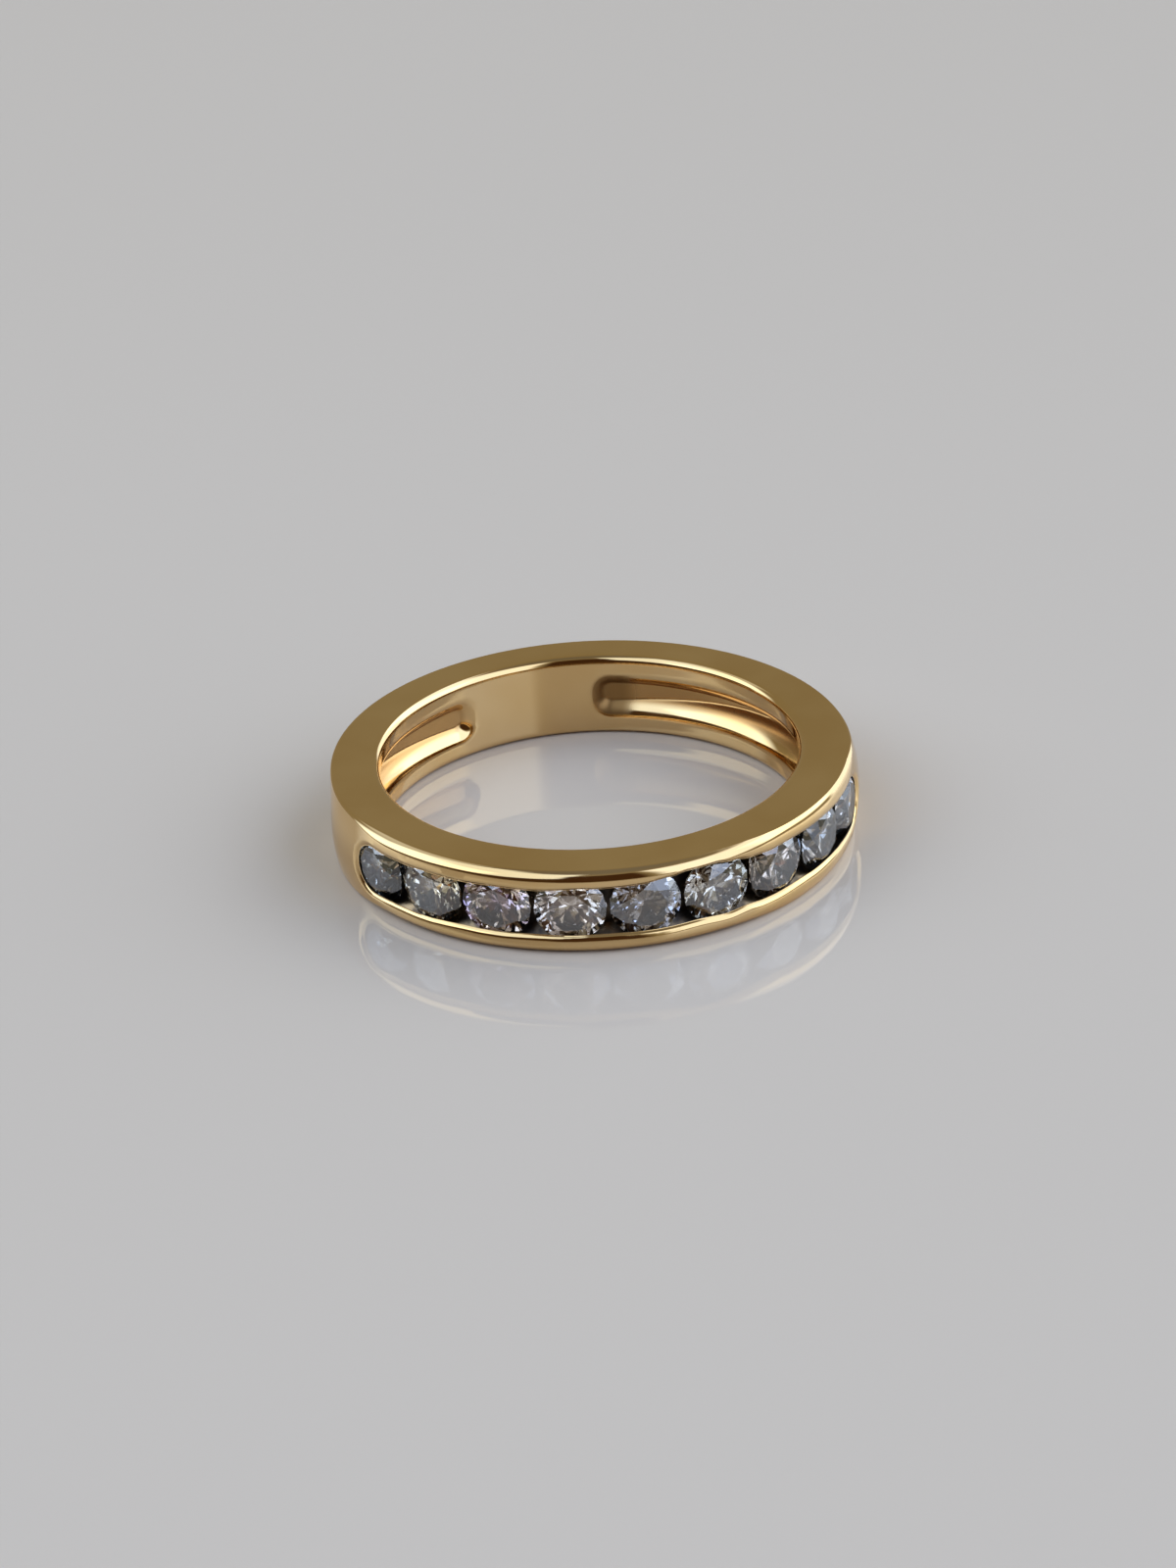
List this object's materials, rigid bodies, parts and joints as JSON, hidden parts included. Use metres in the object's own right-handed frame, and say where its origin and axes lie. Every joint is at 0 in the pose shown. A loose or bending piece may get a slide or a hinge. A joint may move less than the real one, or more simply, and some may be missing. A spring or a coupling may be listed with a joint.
{
  "type": "channel-set diamond band",
  "caption": "Finger ring with flat polished sides and a hollowed bore, thickest at the front, where a row of round brilliants is set between two channel rails.",
  "frame": {"origin": "centre of the finger bore, at half the band's width", "axes": "+Z along the bore, square to the flat sides; the middle of the row of stones is at -Y and +X is to the right of it"},
  "size_m": [0.021, 0.0211, 0.0036],
  "materials": {
    "gold": "polished yellow gold",
    "diamond": "polished facets"
  },
  "bodies": {
    "root": {"band": "gold", "diamond_1": "diamond", "diamond_2": "diamond", "diamond_3": "diamond", "diamond_4": "diamond", "diamond_5": "diamond", "diamond_6": "diamond", "diamond_7": "diamond", "diamond_8": "diamond", "diamond_9": "diamond"}
  },
  "joints": []
}
